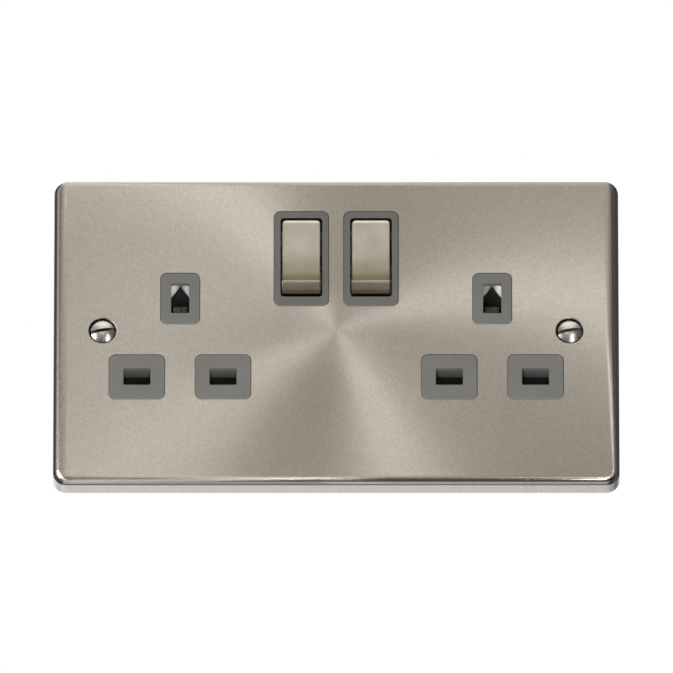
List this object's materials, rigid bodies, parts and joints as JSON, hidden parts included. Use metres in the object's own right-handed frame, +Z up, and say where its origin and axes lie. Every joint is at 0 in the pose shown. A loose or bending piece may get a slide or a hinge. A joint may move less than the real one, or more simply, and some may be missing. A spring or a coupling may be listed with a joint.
{
  "type": "switched socket",
  "caption": "Double wall socket with a satin metal plate, grey pin inserts, rocker switches, shutters, contacts and screw terminals in a moulded body.",
  "frame": {"origin": "centre of the plate's back rim, in the plane of the wall", "axes": "+X to the right as seen from the front, +Y into the wall, +Z up"},
  "size_m": [0.146, 0.0336, 0.086],
  "materials": {
    "satin_metal": "satin",
    "cap_metal": "satin",
    "grey_plastic": "satin",
    "white_plastic": "matte",
    "black_plastic": "matte",
    "natural_nylon": "satin",
    "brass": "satin",
    "plated_brass": "satin",
    "polished_screw": "polished",
    "zinc_steel": "satin"
  },
  "bodies": {
    "socket": {"front_plate": "satin_metal", "front_moulding": "grey_plastic", "rear_moulding": "white_plastic", "live_bar": "brass", "neutral_bar": "brass", "earth_bar": "plated_brass", "terminal_screws": "zinc_steel", "assembly_screws": "zinc_steel", "fixing_screws": "polished_screw", "plate_nuts": "zinc_steel", "terminal_neutral": "brass", "terminal_live": "brass", "terminal_earth_inner": "brass", "terminal_earth_outer": "brass", "live_contact_left": "brass", "shutter_spring_left": "zinc_steel", "live_contact_right": "brass", "shutter_spring_right": "zinc_steel"},
    "left_rocker": {"rocker_left": "black_plastic", "rocker_cap_left": "cap_metal", "plunger_spring_left": "zinc_steel"},
    "left_plunger": {"plunger_left": "natural_nylon"},
    "left_seesaw": {"moving_contact_left": "brass"},
    "left_shutter": {"shutter_left": "black_plastic"},
    "right_rocker": {"rocker_right": "black_plastic", "rocker_cap_right": "cap_metal", "plunger_spring_right": "zinc_steel"},
    "right_plunger": {"plunger_right": "natural_nylon"},
    "right_seesaw": {"moving_contact_right": "brass"},
    "right_shutter": {"shutter_right": "black_plastic"}
  },
  "joints": [
    {"name": "left_rocker_tilt", "type": "hinge", "parent": "socket", "child": "left_rocker", "pos_m": [-0.009, -0.0045, 0.0208], "axis": [1, 0, 0], "range_deg": [0, 16]},
    {"name": "left_seesaw_tilt", "type": "hinge", "parent": "socket", "child": "left_seesaw", "pos_m": [-0.009, 0.00783, 0.0208], "axis": [1, 0, 0], "range_deg": [-16, 0]},
    {"name": "left_plunger_slide", "type": "slide", "parent": "left_rocker", "child": "left_plunger", "axis": [0, -0.9903, 0.1392], "range_m": [0, 0.0008], "stiffness_N_per_m": 300, "springref_m": -0.001, "deforming": ["plunger_spring_left"]},
    {"name": "left_shutter_slide", "type": "slide", "parent": "socket", "child": "left_shutter", "axis": [0, 0, -1], "range_m": [0, 0.0058], "stiffness_N_per_m": 120, "springref_m": -0.003, "deforming": ["shutter_spring_left"]},
    {"name": "right_rocker_tilt", "type": "hinge", "parent": "socket", "child": "right_rocker", "pos_m": [0.009, -0.0045, 0.0208], "axis": [1, 0, 0], "range_deg": [0, 16]},
    {"name": "right_seesaw_tilt", "type": "hinge", "parent": "socket", "child": "right_seesaw", "pos_m": [0.009, 0.00783, 0.0208], "axis": [1, 0, 0], "range_deg": [-16, 0]},
    {"name": "right_plunger_slide", "type": "slide", "parent": "right_rocker", "child": "right_plunger", "axis": [0, -0.9903, 0.1392], "range_m": [0, 0.0008], "stiffness_N_per_m": 300, "springref_m": -0.001, "deforming": ["plunger_spring_right"]},
    {"name": "right_shutter_slide", "type": "slide", "parent": "socket", "child": "right_shutter", "axis": [0, 0, -1], "range_m": [0, 0.0058], "stiffness_N_per_m": 120, "springref_m": -0.003, "deforming": ["shutter_spring_right"]}
  ],
  "couplings": [
    {"joint": "left_seesaw_tilt", "follows": "left_rocker_tilt", "ratio": -1},
    {"joint": "right_seesaw_tilt", "follows": "right_rocker_tilt", "ratio": -1}
  ]
}
